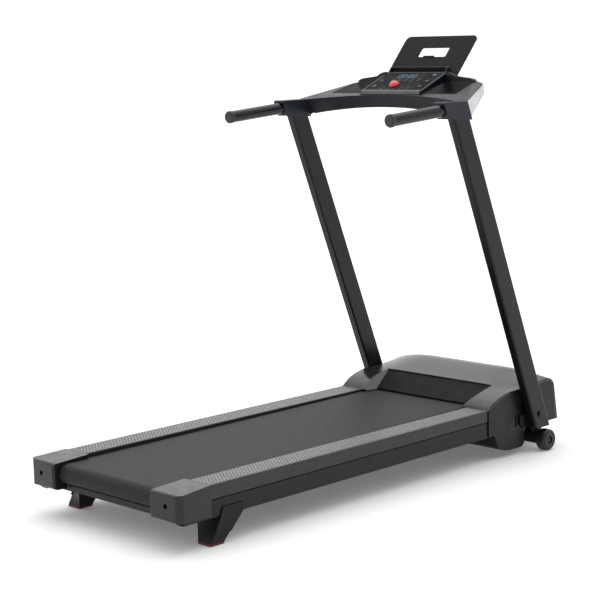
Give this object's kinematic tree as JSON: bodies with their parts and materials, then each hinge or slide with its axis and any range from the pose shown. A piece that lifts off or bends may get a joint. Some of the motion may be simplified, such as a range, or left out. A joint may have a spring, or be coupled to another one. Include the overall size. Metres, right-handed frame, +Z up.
{
  "type": "treadmill",
  "caption": "Folding home treadmill: low belt deck with foot rails, motor hood, leaning uprights with handles, and a console with a fold-down tablet rest.",
  "frame": {"origin": "centre of the bounding box at floor level", "axes": "+Y from the rear roller towards the motor, +X to the right of somebody running, +Z up"},
  "size_m": [0.726, 1.6396, 1.3036],
  "materials": {
    "frame_paint": "satin black powder coat",
    "upright_paint": "satin black powder coat",
    "bare_steel": "turned steel",
    "dark_steel": "blackened steel",
    "running_belt": "fine diamond texture",
    "board": "waxed black fibreboard",
    "rubber_block": "matt",
    "rail_plastic": "ribbed grey",
    "cap_plastic": "textured dark grey",
    "foot_plastic": "matt black",
    "pad_rubber": "red",
    "hood_plastic": "satin dark grey",
    "cover_plastic": "textured black",
    "sleeve_plastic": "satin blue-grey",
    "grip_rubber": "smooth satin grip",
    "console_plastic": "textured dark grey",
    "silver_plastic": "silver",
    "panel_print": "printed sheet",
    "lens": "dark lens",
    "circuit_board": "green laminate",
    "red_plastic": "red",
    "motor_metal": "cast",
    "wheel_plastic": "black",
    "belt_rubber": "ribbed"
  },
  "bodies": {
    "base": {"base_cross_tube": "frame_paint", "belly_pan": "foot_plastic", "deck_board": "board", "deck_cross_tubes": "frame_paint", "deck_cushions": "rubber_block", "drive_belt": "belt_rubber", "frame_blocks": "frame_paint", "front_roller_shaft": "bare_steel", "hood_screws": "dark_steel", "hood_visor": "cover_plastic", "left_foot_rail": "rail_plastic", "left_frame_rail": "frame_paint", "left_hood_side_cover": "cover_plastic", "left_rear_end_cap": "cap_plastic", "left_rear_foot": "foot_plastic", "motor_controller": "circuit_board", "motor_hood": "hood_plastic", "motor_housing": "motor_metal", "motor_mount": "frame_paint", "pivot_bolts": "dark_steel", "power_inlet": "cover_plastic", "rear_foot_pads": "pad_rubber", "rear_roller_shaft": "bare_steel", "right_foot_rail": "rail_plastic", "right_frame_rail": "frame_paint", "right_hood_side_cover": "cover_plastic", "right_rear_end_cap": "cap_plastic", "right_rear_foot": "foot_plastic", "roller_adjuster_bolts": "dark_steel", "upright_brackets": "frame_paint", "walking_belt": "running_belt", "wheel_axle_bolts": "dark_steel"},
    "uprights": {"right_upright": "upright_paint", "left_upright": "upright_paint", "right_grip_sleeve": "sleeve_plastic", "left_grip_sleeve": "sleeve_plastic", "right_handlebar": "grip_rubber", "left_handlebar": "grip_rubber", "handle_end_caps": "grip_rubber", "console_shell": "console_plastic", "console_cover": "console_plastic", "console_crossbar": "frame_paint", "console_side_trims": "silver_plastic", "display_housing": "console_plastic", "display_overlay": "panel_print", "display_window": "lens", "display_board": "circuit_board", "holder_hinge_pin": "bare_steel"},
    "tablet_holder": {"tablet_holder": "console_plastic"},
    "safety_key": {"safety_key": "red_plastic"},
    "stop_key": {"stop_key": "panel_print"},
    "slower_key": {"slower_key": "panel_print"},
    "start_key": {"start_key": "panel_print"},
    "faster_key": {"faster_key": "panel_print"},
    "rear_roller": {"rear_roller": "bare_steel"},
    "front_roller": {"front_roller": "bare_steel"},
    "motor_rotor": {"motor_rotor": "motor_metal"},
    "right_wheel": {"right_transport_wheel": "wheel_plastic"},
    "left_wheel": {"left_transport_wheel": "wheel_plastic"},
    "power_rocker": {"power_rocker": "cover_plastic"}
  },
  "joints": [
    {"name": "uprights_fold", "type": "hinge", "parent": "base", "child": "uprights", "pos_m": [0, 0.65396, 0.122], "axis": [1, 0, 0], "range_deg": [0, 58]},
    {"name": "tablet_holder_fold", "type": "hinge", "parent": "uprights", "child": "tablet_holder", "pos_m": [0, 0.511, 1.2055], "axis": [1, 0, 0], "range_deg": [0, 145]},
    {"name": "safety_key_pull", "type": "slide", "parent": "uprights", "child": "safety_key", "axis": [0, -0.3875, 0.9219], "range_m": [0, 0.015]},
    {"name": "stop_key_press", "type": "slide", "parent": "uprights", "child": "stop_key", "axis": [0, 0.3875, -0.9219], "range_m": [0, 0.001], "stiffness_N_per_m": 900},
    {"name": "slower_key_press", "type": "slide", "parent": "uprights", "child": "slower_key", "axis": [0, 0.3875, -0.9219], "range_m": [0, 0.001], "stiffness_N_per_m": 900},
    {"name": "start_key_press", "type": "slide", "parent": "uprights", "child": "start_key", "axis": [0, 0.3875, -0.9219], "range_m": [0, 0.001], "stiffness_N_per_m": 900},
    {"name": "faster_key_press", "type": "slide", "parent": "uprights", "child": "faster_key", "axis": [0, 0.3875, -0.9219], "range_m": [0, 0.001], "stiffness_N_per_m": 900},
    {"name": "motor_spin", "type": "hinge", "parent": "base", "child": "motor_rotor", "pos_m": [0, 0.67, 0.15], "axis": [1, 0, 0], "continuous": true},
    {"name": "front_roller_spin", "type": "hinge", "parent": "base", "child": "front_roller", "pos_m": [0, 0.525, 0.13], "axis": [1, 0, 0], "continuous": true},
    {"name": "rear_roller_spin", "type": "hinge", "parent": "base", "child": "rear_roller", "pos_m": [0, -0.775, 0.13], "axis": [1, 0, 0], "continuous": true},
    {"name": "right_wheel_spin", "type": "hinge", "parent": "base", "child": "right_wheel", "pos_m": [0.3457, 0.686, 0.034], "axis": [1, 0, 0], "continuous": true},
    {"name": "left_wheel_spin", "type": "hinge", "parent": "base", "child": "left_wheel", "pos_m": [-0.3457, 0.686, 0.034], "axis": [1, 0, 0], "continuous": true},
    {"name": "power_rocker_tilt", "type": "hinge", "parent": "base", "child": "power_rocker", "pos_m": [0.12, 0.79541, 0.12807], "axis": [1, 0, 0], "range_deg": [0, 10]}
  ],
  "couplings": [
    {"joint": "front_roller_spin", "follows": "motor_spin", "ratio": 0.41667},
    {"joint": "rear_roller_spin", "follows": "motor_spin", "ratio": 0.41667}
  ]
}
